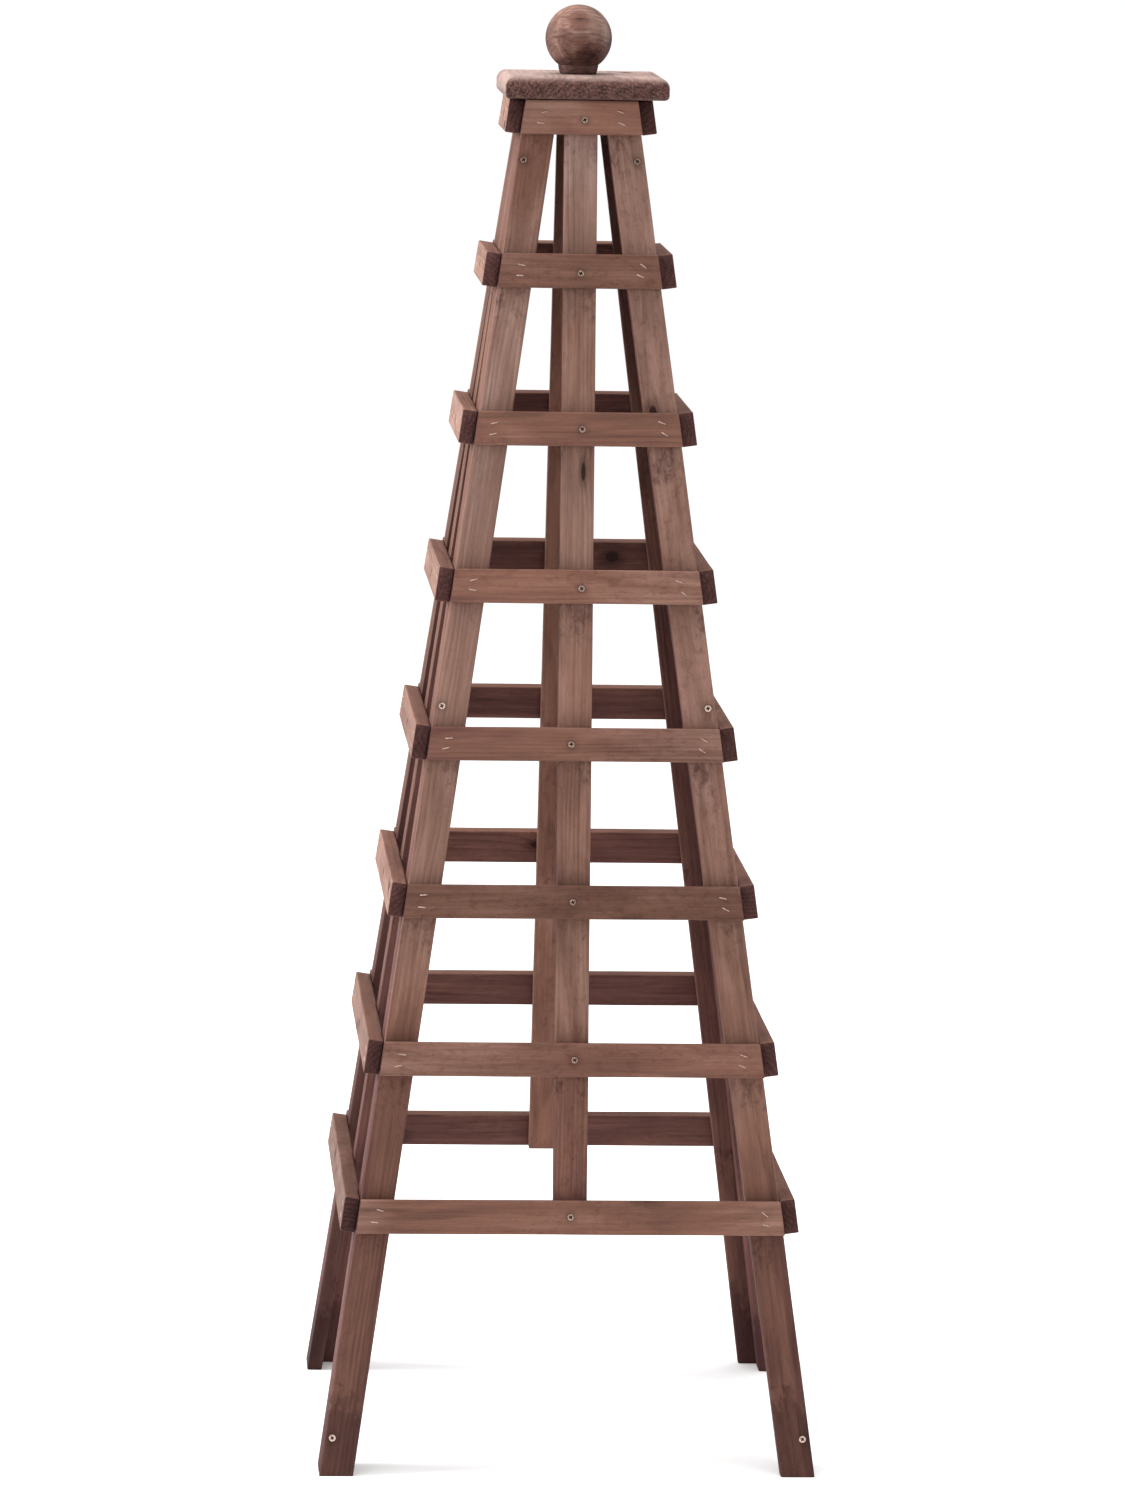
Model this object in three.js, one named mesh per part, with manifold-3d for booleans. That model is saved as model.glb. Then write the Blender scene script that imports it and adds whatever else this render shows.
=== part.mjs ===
// Garden obelisk: a tall four-sided pyramid of trellis for climbing plants, topped by a square cap and a ball.
//
// Each side is a flat panel of planed softwood laths: two edge stiles and a centre stile stand on the inside,
// and eight horizontal slats are fixed across their outer faces. The front and back panels run the full width.
// The left and right panels fit between them, and screws through the front and back stiles hold the corners.
//
// Millimetres, +Z up. The origin is on the ground at the middle of the four feet. The front panel faces -Y.
import * as THREE from "three";
import { mergeVertices } from "three/addons/utils/BufferGeometryUtils.js";
import Module from "manifold-3d";

const wasm = await Module();
wasm.setup();

// Driving dimensions.
const footWidth = 552; // over the stiles' outer faces, at the ground
const headWidth = 124; // over the stiles' outer faces, under the cap
const lathWidth = 38;
const lathThickness = 17;
const slatCount = 8;
const lowestSlatHeight = 286; // height of its middle, measured on the stiles' outer faces
const slatPitch = 173;
const highestSlatPitch = 168.5; // the highest slat is closer to the one below it
const fitGap = 0.3; // clearance between pieces that bear on each other

const capWidth = 183;
const capThickness = 24.5;
const capEdgeRadius = 11;
const capOffset = 5; // the cap is fixed a little to the right of the head's middle

const headBlockHeight = 36;

const ballRadius = 37.2;
const ballFootRadius = 20.8;
const ballNeckRadius = 22.8; // where the ball meets its foot
const ballFootHeight = 10;

const cornerScrewHeights = { low: 42, middle: 846, high: 1446 };
const cornerScrewLength = 40;
const screwShankRadius = 2;
const screwHeadRadius = 4;
const screwHeadDepth = 2.4;
const screwTipLength = 4;
const screwSides = 12;

const dowelScrewRadius = 3;
const dowelScrewPointLength = 6;
const dowelScrewDepthInBall = 28;
const dowelScrewDepthInBlock = 28;

// What follows from them. All four panels lean inwards by the same angle.
const slatHeights = Array.from({ length: slatCount }, (_, i) => lowestSlatHeight + i * slatPitch);
slatHeights[slatCount - 1] += highestSlatPitch - slatPitch;
const highestSlatHeight = slatHeights[slatCount - 1];
const lean = findLean();
const headHeight = capUnderside(lean);
const capTop = headHeight + capThickness;
const ballRise = ballFootHeight + Math.sqrt(ballRadius ** 2 - ballNeckRadius ** 2); // its centre above the cap
const finialScrewDepth = dowelScrewDepthInBall + capThickness + dowelScrewDepthInBlock;

// The cap rests on the highest slats' outer top edges.
function capUnderside(angle) {
  const slatTop = highestSlatHeight + (lathWidth / 2) * Math.cos(angle);
  return slatTop + (fitGap + lathThickness) * Math.sin(angle) + fitGap;
}

// The lean and the cap's height depend on each other, and a few rounds settle both.
function findLean() {
  let angle = 0;
  for (let round = 0; round < 6; round++) {
    angle = Math.atan((footWidth - headWidth) / 2 / capUnderside(angle));
  }
  return angle;
}

// Half of the pyramid's width at a height above the ground.
function halfWidthAt(height) {
  return footWidth / 2 - height * Math.tan(lean);
}

// Distance up a panel's face to a height above the ground.
function upTheFace(height) {
  return height / Math.cos(lean);
}

const timber = {
  lath: new THREE.MeshStandardMaterial({ color: 0x8a6558, roughness: 0.82, metalness: 0 }),
  board: new THREE.MeshStandardMaterial({ color: 0x86635a, roughness: 0.85, metalness: 0 }),
  turned: new THREE.MeshStandardMaterial({ color: 0x80605a, roughness: 0.75, metalness: 0 }),
};
const zincPlate = new THREE.MeshStandardMaterial({ color: 0xd8c3b4, roughness: 0.4, metalness: 0.9 });

function namedMesh(name, geometry, material) {
  const mesh = new THREE.Mesh(geometry, material);
  mesh.name = name;
  return mesh;
}

// Solids for joining and cutting.
function toSolid(geometry) {
  const bare = geometry.clone();
  bare.deleteAttribute("normal");
  bare.deleteAttribute("uv");
  const merged = mergeVertices(bare, 1e-3);
  const vertProperties = merged.attributes.position.array;
  const triVerts = new Uint32Array(merged.index.array);
  return new wasm.Manifold(new wasm.Mesh({ numProp: 3, vertProperties, triVerts }));
}

function fromSolid(solid) {
  const mesh = solid.getMesh();
  const geometry = new THREE.BufferGeometry();
  geometry.setAttribute("position", new THREE.BufferAttribute(mesh.vertProperties, 3));
  geometry.setIndex(new THREE.BufferAttribute(mesh.triVerts, 1));
  geometry.computeVertexNormals();
  return geometry;
}

// Cuts a tool, given in world space, out of a mesh that stands where it belongs.
function cut(mesh, tool) {
  mesh.updateWorldMatrix(true, false);
  const toMesh = mesh.matrixWorld.clone().invert();
  const localTool = tool.clone().applyMatrix4(toMesh);
  mesh.geometry = fromSolid(toSolid(mesh.geometry).subtract(toSolid(localTool)));
}

// In a panel's own axes, X runs across it, Y up its face and Z out of it, and the stiles' outer faces are at Z 0.
function outlineShape(points) {
  return new THREE.Shape(points.map(([x, y]) => new THREE.Vector2(x, y)));
}

// A lath behind the face, its ends sawn level with the ground.
function stileGeometry(points) {
  const geometry = new THREE.ExtrudeGeometry(outlineShape(points), { depth: lathThickness, bevelEnabled: false });
  geometry.translate(0, 0, -lathThickness);
  const position = geometry.attributes.position;
  for (let i = 0; i < position.count; i++) {
    position.setY(i, position.getY(i) - position.getZ(i) * Math.tan(lean));
  }
  geometry.computeVertexNormals();
  return geometry;
}

// side is -1 for a panel's left edge and 1 for its right. inset moves the stile in from the corner.
// Near the head, where a stile would run into the centre stile, its inner edge is sawn upright beside it.
function edgeStile(name, side, inset) {
  const top = upTheFace(headHeight - fitGap);
  const taper = Math.sin(lean);
  const widthAcross = lathWidth / Math.cos(Math.atan(taper));
  const outer = (y) => footWidth / 2 - inset - y * taper;
  const innermost = lathWidth / 2 + fitGap;
  const meets = (footWidth / 2 - inset - widthAcross - innermost) / taper;
  const points = [[outer(0), 0], [outer(top), top]];
  if (meets < top) {
    points.push([innermost, top], [innermost, meets]);
  } else {
    points.push([outer(top) - widthAcross, top]);
  }
  points.push([outer(0) - widthAcross, 0]);
  const placed = points.map(([x, y]) => [side * x, y]);
  if (side < 0) placed.reverse();
  return namedMesh(name, stileGeometry(placed), timber.lath);
}

function centreStile(name) {
  const bottom = upTheFace(lowestSlatHeight) - lathWidth / 2;
  const top = upTheFace(headHeight - fitGap);
  const half = lathWidth / 2;
  const points = [[-half, bottom], [half, bottom], [half, top], [-half, top]];
  return namedMesh(name, stileGeometry(points), timber.lath);
}

// A slat lies on the stiles' outer faces. Its ends are sawn flush with the edges of the panel.
function slat(name, height) {
  const middle = upTheFace(height);
  const bottom = middle - lathWidth / 2;
  const top = middle + lathWidth / 2;
  const reach = (y) => footWidth / 2 - y * Math.sin(lean);
  const points = [[-reach(bottom), bottom], [reach(bottom), bottom], [reach(top), top], [-reach(top), top]];
  const geometry = new THREE.ExtrudeGeometry(outlineShape(points), { depth: lathThickness, bevelEnabled: false });
  geometry.translate(0, 0, fitGap);
  return namedMesh(name, geometry, timber.lath);
}

// One trellis side: three stiles and eight slats, numbered from the ground up.
function trellisPanel(side, stileInset) {
  const panel = new THREE.Group();
  panel.add(edgeStile(`${side}_left_stile`, -1, stileInset));
  panel.add(centreStile(`${side}_centre_stile`));
  panel.add(edgeStile(`${side}_right_stile`, 1, stileInset));
  slatHeights.forEach((height, i) => panel.add(slat(`${side}_slat_${i + 1}`, height)));
  panel.position.y = -footWidth / 2;
  panel.rotation.x = Math.PI / 2 - lean;
  return panel;
}

// The cap's section: level below, with its two upper corners rounded over.
function capSection() {
  const half = capWidth / 2;
  const shoulder = half - capEdgeRadius;
  const arcHeight = capThickness - capEdgeRadius;
  const shape = new THREE.Shape();
  shape.moveTo(-half, 0);
  shape.lineTo(half, 0);
  shape.absarc(shoulder, arcHeight, capEdgeRadius, 0, Math.PI / 2);
  shape.absarc(-shoulder, arcHeight, capEdgeRadius, Math.PI / 2, Math.PI);
  return shape;
}

// A square board rounded over along all four upper edges: the same section run across it both ways.
function cap() {
  const alongDepth = new THREE.ExtrudeGeometry(capSection(), {
    depth: capWidth,
    bevelEnabled: false,
    curveSegments: 6,
  });
  alongDepth.translate(0, 0, -capWidth / 2);
  alongDepth.rotateX(Math.PI / 2);
  const alongWidth = alongDepth.clone().rotateZ(Math.PI / 2);
  const mesh = namedMesh("cap", fromSolid(toSolid(alongDepth).intersect(toSolid(alongWidth))), timber.board);
  mesh.position.set(capOffset, 0, headHeight);
  return mesh;
}

// A block inside the head, bevelled to the leaning stiles, that the cap is drawn down onto.
function headBlock() {
  const top = headHeight - fitGap;
  const wall = lathThickness / Math.cos(lean) + fitGap;
  const cornerReach = (height) => (halfWidthAt(height) - wall) * Math.SQRT2;
  const geometry = new THREE.CylinderGeometry(
    cornerReach(top), cornerReach(top - headBlockHeight), headBlockHeight, 4,
  );
  geometry.rotateY(Math.PI / 4);
  geometry.rotateX(Math.PI / 2);
  const mesh = namedMesh("head_block", geometry, timber.board);
  mesh.position.z = top - headBlockHeight / 2;
  return mesh;
}

// A ball turned in one piece with its round foot.
function ballFinial() {
  const startAngle = -Math.acos(ballNeckRadius / ballRadius);
  const steps = 16;
  const profile = [new THREE.Vector2(0, 0), new THREE.Vector2(ballFootRadius, 0)];
  for (let i = 0; i < steps; i++) {
    const angle = startAngle + ((Math.PI / 2 - startAngle) * i) / steps;
    profile.push(new THREE.Vector2(ballRadius * Math.cos(angle), ballRise + ballRadius * Math.sin(angle)));
  }
  profile.push(new THREE.Vector2(0, ballRise + ballRadius));
  const geometry = new THREE.LatheGeometry(profile, 32);
  geometry.rotateX(Math.PI / 2);
  const mesh = namedMesh("ball_finial", geometry, timber.turned);
  mesh.position.z = capTop + fitGap;
  return mesh;
}

// Screws are turned about Z with the head at the top. clearance grows one into the hole that it fits.
function cornerScrewGeometry(clearance) {
  const head = screwHeadRadius + clearance;
  const shank = screwShankRadius + clearance;
  const end = -cornerScrewLength - clearance;
  const profile = [
    new THREE.Vector2(0, end),
    new THREE.Vector2(shank, end + screwTipLength),
    new THREE.Vector2(shank, -screwHeadDepth),
    new THREE.Vector2(head, 0),
  ];
  if (clearance > 0) profile.push(new THREE.Vector2(head, clearance));
  profile.push(new THREE.Vector2(0, clearance));
  return new THREE.LatheGeometry(profile, screwSides).rotateX(Math.PI / 2);
}

// A double-ended screw that pulls the ball and the cap down onto the head block.
function finialScrewGeometry(clearance) {
  const radius = dowelScrewRadius + clearance;
  const half = finialScrewDepth / 2 + clearance;
  const shoulder = half - dowelScrewPointLength;
  const profile = [
    new THREE.Vector2(0, -half),
    new THREE.Vector2(radius, -shoulder),
    new THREE.Vector2(radius, shoulder),
    new THREE.Vector2(0, half),
  ];
  return new THREE.LatheGeometry(profile, screwSides).rotateX(Math.PI / 2);
}

const obelisk = new THREE.Group();

// The front and back panels reach the corners. The left and right panels stand behind their stiles.
const betweenInset = lathThickness / Math.cos(lean) + fitGap;
const panelInsets = { front: 0, right: betweenInset, back: 0, left: betweenInset };
Object.entries(panelInsets).forEach(([side, inset], quarterTurns) => {
  const turned = new THREE.Group();
  turned.rotation.z = (quarterTurns * Math.PI) / 2;
  turned.add(trellisPanel(side, inset));
  obelisk.add(turned);
});
obelisk.add(headBlock(), cap(), ballFinial());
obelisk.updateMatrixWorld(true);

const piece = (name) => obelisk.getObjectByName(name);

// Three screws at each corner go through a full-width panel's stile into the edge of the stile behind it.
const corners = [
  { name: "front_left", panel: "front", side: -1, through: "front_left_stile", into: "left_right_stile" },
  { name: "front_right", panel: "front", side: 1, through: "front_right_stile", into: "right_left_stile" },
  { name: "back_left", panel: "back", side: 1, through: "back_right_stile", into: "left_left_stile" },
  { name: "back_right", panel: "back", side: -1, through: "back_left_stile", into: "right_right_stile" },
];
for (const corner of corners) {
  for (const [level, height] of Object.entries(cornerScrewHeights)) {
    const name = `corner_screw_${corner.name}_${level}`;
    const screw = namedMesh(name, cornerScrewGeometry(0), zincPlate);
    screw.position.set(corner.side * (halfWidthAt(height) - lathThickness / 2), upTheFace(height), 0);
    piece(`${corner.panel}_centre_stile`).parent.add(screw);
    screw.updateWorldMatrix(true, false);
    const hole = cornerScrewGeometry(fitGap).applyMatrix4(screw.matrixWorld);
    cut(piece(corner.through), hole);
    cut(piece(corner.into), hole);
  }
}

const finialScrew = namedMesh("finial_screw", finialScrewGeometry(0), zincPlate);
finialScrew.position.z = headHeight - dowelScrewDepthInBlock + finialScrewDepth / 2;
obelisk.add(finialScrew);
finialScrew.updateWorldMatrix(true, false);
const finialHole = finialScrewGeometry(fitGap).applyMatrix4(finialScrew.matrixWorld);
for (const name of ["head_block", "cap", "ball_finial"]) {
  cut(piece(name), finialHole);
}

export default obelisk;
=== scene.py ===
"""The garden obelisk's looks: weathered brown-stained laths, a cap, a turned ball and their fastenings.

Everything is in metres in the frame's own axes: +Z up, the origin on the ground, the front panel facing -Y.
A lath has axes of its own: X along its grain, Y across its face and Z out of the obelisk.
"""

import math
import random
from typing import NamedTuple

import bmesh
import bpy
from mathutils import Matrix, Vector, noise


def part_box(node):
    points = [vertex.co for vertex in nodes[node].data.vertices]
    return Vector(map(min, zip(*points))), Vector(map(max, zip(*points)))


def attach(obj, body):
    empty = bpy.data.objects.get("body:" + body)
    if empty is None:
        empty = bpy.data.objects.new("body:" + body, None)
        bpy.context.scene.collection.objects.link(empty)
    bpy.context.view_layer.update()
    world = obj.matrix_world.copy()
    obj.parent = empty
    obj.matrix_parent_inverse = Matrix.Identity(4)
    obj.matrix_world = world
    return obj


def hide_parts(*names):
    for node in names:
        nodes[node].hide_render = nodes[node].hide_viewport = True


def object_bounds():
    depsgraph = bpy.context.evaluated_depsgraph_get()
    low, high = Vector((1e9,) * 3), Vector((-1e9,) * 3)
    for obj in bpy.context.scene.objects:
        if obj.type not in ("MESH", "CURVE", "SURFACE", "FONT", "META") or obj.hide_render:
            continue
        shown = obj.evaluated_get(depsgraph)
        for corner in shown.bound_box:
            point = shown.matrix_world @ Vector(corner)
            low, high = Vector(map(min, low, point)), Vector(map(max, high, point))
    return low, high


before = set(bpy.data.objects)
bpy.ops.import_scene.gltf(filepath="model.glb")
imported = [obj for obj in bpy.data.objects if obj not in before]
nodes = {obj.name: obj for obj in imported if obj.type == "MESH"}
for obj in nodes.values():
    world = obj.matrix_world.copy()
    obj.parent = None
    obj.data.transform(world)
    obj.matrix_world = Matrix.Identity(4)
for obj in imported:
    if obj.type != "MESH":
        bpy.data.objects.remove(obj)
cad_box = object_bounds()

SIDES = ("front", "right", "back", "left")
SLAT_COUNT = sum(name.startswith("front_slat_") for name in nodes)

# ---- camera

CAMERA_PLACE = Vector((-0.503, -7.570, 1.899))
CAMERA_YAW = math.radians(3.78)  # to the right of +Y
CAMERA_PITCH = math.radians(8.43)  # below the horizon
CAMERA_ROLL = math.radians(1.10)
CAMERA_LENS = 162.4  # millimetres, for a sensor whose long side is SENSOR_SIDE
SENSOR_SIDE = 36.0
FARTHEST_SEEN = 300.0


def make_camera():
    data = bpy.data.cameras.new("camera")
    data.lens = CAMERA_LENS
    data.sensor_width = SENSOR_SIDE
    data.clip_end = FARTHEST_SEEN
    camera = bpy.data.objects.new("camera", data)
    bpy.context.scene.collection.objects.link(camera)
    yaw = Matrix.Rotation(-CAMERA_YAW, 4, "Z")
    pitch = Matrix.Rotation(math.pi / 2 - CAMERA_PITCH, 4, "X")
    roll = Matrix.Rotation(CAMERA_ROLL, 4, "Z")
    camera.matrix_world = Matrix.Translation(CAMERA_PLACE) @ yaw @ pitch @ roll
    bpy.context.scene.camera = camera


make_camera()

# ---- shader building

MIX_FACTOR, MIX_FIRST, MIX_SECOND, MIX_RESULT = 0, 6, 7, 2  # a Mix node's sockets when it mixes colours


def colour(red, green, blue):
    return (red, green, blue, 1.0)


class Pattern(NamedTuple):
    """Noise from 0 to 1: its cells for each metre along X, Y and Z, and its character."""

    cells: tuple
    detail: float = 2.0
    roughness: float = 0.5
    distortion: float = 0.0


class Graph:
    """A material whose shader nodes are made and linked in one call each."""

    def __init__(self, name):
        self.material = bpy.data.materials.new(name)
        self.material.use_nodes = True
        self.tree = self.material.node_tree
        self.tree.nodes.clear()

    def add(self, kind, inputs, **settings):
        node = self.tree.nodes.new(kind)
        for name, value in settings.items():
            setattr(node, name, value)
        for name, value in inputs.items():
            if isinstance(value, bpy.types.NodeSocket):
                self.tree.links.new(value, node.inputs[name])
            else:
                node.inputs[name].default_value = value
        return node

    def math(self, operation, a, b=0.0):
        return self.add("ShaderNodeMath", {0: a, 1: b}, operation=operation).outputs[0]

    def total(self, result, *others):
        for other in others:
            result = self.math("ADD", result, other)
        return result

    def product(self, result, *others):
        for other in others:
            result = self.math("MULTIPLY", result, other)
        return result

    def centred(self, pattern):
        return self.math("SUBTRACT", pattern, 0.5)

    def scaled(self, vector, factors):
        return self.add("ShaderNodeVectorMath", {0: vector, 1: factors}, operation="MULTIPLY").outputs[0]

    def length(self, vector):
        return self.add("ShaderNodeVectorMath", {0: vector}, operation="LENGTH").outputs["Value"]

    def smooth(self, value, low, high, to_low=0.0, to_high=1.0):
        """value from low to high, eased into the range from to_low to to_high."""
        inputs = {0: value, 1: low, 2: high, 3: to_low, 4: to_high}
        return self.add("ShaderNodeMapRange", inputs, interpolation_type="SMOOTHSTEP").outputs[0]

    def mix(self, factor, first, second, blend="MIX"):
        inputs = {MIX_FACTOR: factor, MIX_FIRST: first, MIX_SECOND: second}
        return self.add("ShaderNodeMix", inputs, data_type="RGBA", blend_type=blend).outputs[MIX_RESULT]

    def tint(self, base, factor):
        """base made brighter or darker by factor."""
        vector = base if isinstance(base, bpy.types.NodeSocket) else base[:3]
        return self.add("ShaderNodeVectorMath", {0: vector, "Scale": factor}, operation="SCALE").outputs[0]

    def attribute(self, name, output="Fac"):
        return self.add("ShaderNodeAttribute", {}, attribute_name=name).outputs[output]

    def noise(self, vector, pattern):
        inputs = {
            "Vector": self.scaled(vector, pattern.cells),
            "Scale": 1.0,
            "Detail": pattern.detail,
            "Roughness": pattern.roughness,
            "Distortion": pattern.distortion,
        }
        return self.add("ShaderNodeTexNoise", inputs).outputs[0]

    def finish(self, inputs):
        shader = self.add("ShaderNodeBsdfPrincipled", inputs)
        self.add("ShaderNodeOutputMaterial", {"Surface": shader.outputs[0]})
        return self.material


# ---- wood

# Patterns in the wood, whose X runs along the grain.
FIBRES = Pattern((26.0, 1000.0, 1000.0), detail=5.0, roughness=0.62)
STREAKS = Pattern((6.0, 210.0, 210.0), detail=3.0, roughness=0.6)
BLOTCHES = Pattern((6.0, 24.0, 24.0), detail=3.0, roughness=0.55, distortion=0.8)
PATCHES = Pattern((2.2, 9.0, 9.0))
PORES = Pattern((150.0, 1600.0, 1600.0), roughness=0.6)
RING_WARPS = Pattern((2.4, 14.0, 14.0))
RING_RIPPLES = Pattern((14.0, 80.0, 80.0))
RING_FADES = Pattern((4.0, 45.0, 45.0))
HUES = Pattern((3.0, 12.0, 12.0))
MOTTLES = Pattern((85.0, 130.0, 130.0), detail=4.0, roughness=0.68, distortion=0.4)
RUBS = Pattern((45.0, 260.0, 260.0), detail=3.0, roughness=0.6)
SPECKLES = Pattern((240.0, 430.0, 430.0), detail=4.0, roughness=0.72)
SAW_MARKS = Pattern((100.0, 90.0, 160.0))

# What Graph.smooth does with them: a range and, unless it becomes 0 to 1, what it becomes.
PORE_EDGE = (0.56, 0.72)
RING_RISE, RING_FALL = (0.2, 0.88), (0.9, 1.0, 1.0, 0.0)
RING_FADE = (0.38, 0.66, 0.1, 1.0)
HEART_EDGE = (0.75, 1.15, 0.94, 0.0)
HEART_RING = (0.1, 0.9, 0.55, 1.25)
KNOT_RIM = (1.0, 2.8, 0.62, 1.0)
FIXING_EDGE = (1.0, 2.3, 0.8, 1.0)
BROWN_EDGE, BLEACHED_EDGE, SILVERED_EDGE = (0.0, 0.5), (0.5, 1.0), (1.0, 1.5)
SHELTERED_EDGE = (0.0, 0.5)
BLOTCH_EDGE = (0.25, 0.75)
HUE_EDGE = (0.38, 0.62)
MILDEW_EDGE, MILDEW_PATCH = (0.48, 0.66), (0.44, 0.60, 0.0, 0.55)
RUB_EDGE, RUB_WEATHER = (0.3, 0.7, 0.0, 0.5), (0.1, 0.6)
PIT_EDGE = (0.34, 0.66)
FLECK_EDGE, FLECK_PATCH = (0.60, 0.70), (0.4, 0.6, 0.3, 1.0)
DAMP_AND_SHADE_RAGGED, DAMP_AND_SHADE_EDGE = (0.0, 0.1, 0.35, 1.0), (0.05, 0.4)
CREVICE_SHADE_EDGE = (0.25, 0.75, 0.6, 0.0)

ACROSS_GRAIN = (0.0, 1.0, 1.0)
RING_WARP, RING_RIPPLE = 0.030, 0.0026  # how far the rings stray from circles
KNOT_SWELL, KNOT_SWELL_FADE = 0.011, -0.75
KNOT_RAGGED = 0.5
HEART_RINGS = 3.2  # in each of the knot's half sizes
HEARTWOOD = colour(0.045, 0.018, 0.015)
FIXING_RAGGED = 0.8

BLEACH_UNEVEN = 0.75
PATCH_BLEACH = 0.9  # of the blotches'
STREAK_BLEACH = 0.35
FIBRE_SHARE, STREAK_SHARE = 0.55, 0.45
SHELTERED_CONTRAST = 1.8  # of the open faces'
RING_SHADE = 0.24
PORE_SHADE = 0.16
BLOTCH_SHADE = 0.16
WARM_STAIN = colour(1.005, 0.985, 0.985)
COOL_STAIN = colour(0.995, 1.0, 0.985)

MILDEW = colour(0.68, 0.57, 0.57)
RUB_FLOOR = 0.4
RUBBED_BRIGHTNESS = 1.2

SAW_MARK_DEPTH = 0.35
PIT_DARKENING, PIT_BRIGHTENING = 0.6, 0.7
MOST_FLECKS = 0.6
END_RING_SHADE = 0.25

# soil on the feet; the same colour is painted shade on the ball and under the slats
SOIL_AND_SHADE = colour(0.55, 0.52, 0.56)
# painted shade and dirt in the crevices between pieces
CREVICE_SHADE_AND_DIRT = colour(0.34, 0.28, 0.28)

RELIEF = {"fibre": 0.55, "streak": 0.35, "rings": 0.35, "pores": -0.35, "heart": 0.35}  # how each stands out
PIT_RELIEF = 1.8
WOOD_ROUGHNESS, FIBRE_ROUGHNESS = 0.58, 0.26

# What age_wood stores at each vertex, besides where it lies in the grain.
# weather also carries painted highlight and painted shade on some faces
NUMBERS = ("tone", "wear", "weather", "damp", "end_grain")
MARKS = ("fixing", "knot_a", "knot_b")
NOWHERE = (50.0, 0.0, 0.0)  # far from any knot or screw
PLAIN = {"tone": 1.0, "wear": 0.0, "weather": 0.0, "damp": 0.0, **dict.fromkeys(MARKS, NOWHERE)}


class WoodLook(NamedTuple):
    """A wood's stains, from faces that the weather doesn't reach to the palest, and how it is marked."""

    sheltered: tuple
    brown: tuple
    bleached: tuple
    silvered: tuple
    end: tuple
    end_speckle: float
    figure: float = 1.0  # how strongly the grain shows
    ring_width: float = 0.0052


class WoodGraph(Graph):
    """A wood's graph, with what age_wood stores on each piece and the patterns that several effects share."""

    def __init__(self, name, look):
        super().__init__(name)
        self.look = look
        for number in NUMBERS:
            setattr(self, number, self.attribute(number))
        self.grain = self.attribute("grain", "Vector")
        self.fixing, *knots = [self.length(self.attribute(mark, "Vector")) for mark in MARKS]
        self.knot = self.math("MINIMUM", *knots)
        self.fibre = self.noise(self.grain, FIBRES)
        self.streak = self.noise(self.grain, STREAKS)
        self.blotch = self.noise(self.grain, BLOTCHES)
        self.patch = self.noise(self.grain, PATCHES)
        self.mottle = self.noise(self.grain, MOTTLES)
        self.pores = self.smooth(self.noise(self.grain, PORES), *PORE_EDGE)
        self.latewood = self.latewood_lines()
        fade = self.smooth(self.noise(self.grain, RING_FADES), *RING_FADE)
        self.rings = self.product(self.latewood, fade)
        self.ragged_knot = self.total(self.knot, self.product(self.centred(self.fibre), KNOT_RAGGED))
        self.heart = self.smooth(self.ragged_knot, *HEART_EDGE)
        self.speckle = self.noise(self.grain, SPECKLES)
        saw_marks = self.centred(self.noise(self.grain, SAW_MARKS))
        self.pits = self.total(self.speckle, self.product(saw_marks, SAW_MARK_DEPTH))

    def latewood_lines(self):
        """Growth rings are cylinders about the pith, warped along the grain, and swell round a knot."""
        from_pith = self.length(self.scaled(self.grain, ACROSS_GRAIN))
        warp = self.product(self.centred(self.noise(self.grain, RING_WARPS)), RING_WARP)
        ripple = self.product(self.centred(self.noise(self.grain, RING_RIPPLES)), RING_RIPPLE)
        knot_nearness = self.math("EXPONENT", self.product(self.knot, KNOT_SWELL_FADE))
        ring_place = self.total(from_pith, warp, ripple, self.product(knot_nearness, KNOT_SWELL))
        phase = self.math("FRACT", self.math("DIVIDE", ring_place, self.look.ring_width))
        return self.product(self.smooth(phase, *RING_RISE), self.smooth(phase, *RING_FALL))


def grain_shade(g):
    """How bright the grain makes a face. It shows more where the face is sheltered."""
    figure = g.look.figure
    threads = g.total(g.product(g.fibre, FIBRE_SHARE), g.product(g.streak, STREAK_SHARE))
    contrast = g.smooth(g.weather, *SHELTERED_EDGE, SHELTERED_CONTRAST * figure, figure)
    rings = g.product(g.rings, -RING_SHADE * figure)
    shade = g.total(g.product(g.centred(threads), contrast), 1.0, rings, g.product(g.pores, -PORE_SHADE))
    blotches = g.smooth(g.blotch, *BLOTCH_EDGE, 1.0 - BLOTCH_SHADE * figure, 1.0 + BLOTCH_SHADE * figure)
    return g.product(shade, g.tone, blotches)


def stained_face(g):
    """Sheltered faces keep a dark, red stain. Open ones are bleached, unevenly."""
    look = g.look
    streaks = g.product(g.centred(g.streak), STREAK_BLEACH * look.figure)
    uneven = g.total(g.centred(g.blotch), g.product(g.centred(g.patch), PATCH_BLEACH))
    exposure = g.total(g.weather, g.product(uneven, BLEACH_UNEVEN), streaks)
    stain = g.mix(g.smooth(exposure, *BROWN_EDGE), look.sheltered, look.brown)
    stain = g.mix(g.smooth(exposure, *BLEACHED_EDGE), stain, look.bleached)
    stain = g.mix(g.smooth(exposure, *SILVERED_EDGE), stain, look.silvered)
    hue = g.smooth(g.noise(g.grain, HUES), *HUE_EDGE)
    return g.mix(1.0, g.tint(stain, grain_shade(g)), g.mix(hue, WARM_STAIN, COOL_STAIN), "MULTIPLY")


def mildewed(g, stain):
    """Mildew mottles the wood in patches."""
    mottled = g.product(g.smooth(g.mottle, *MILDEW_EDGE), g.smooth(g.patch, *MILDEW_PATCH))
    return g.mix(mottled, stain, MILDEW, "MULTIPLY")


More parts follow.
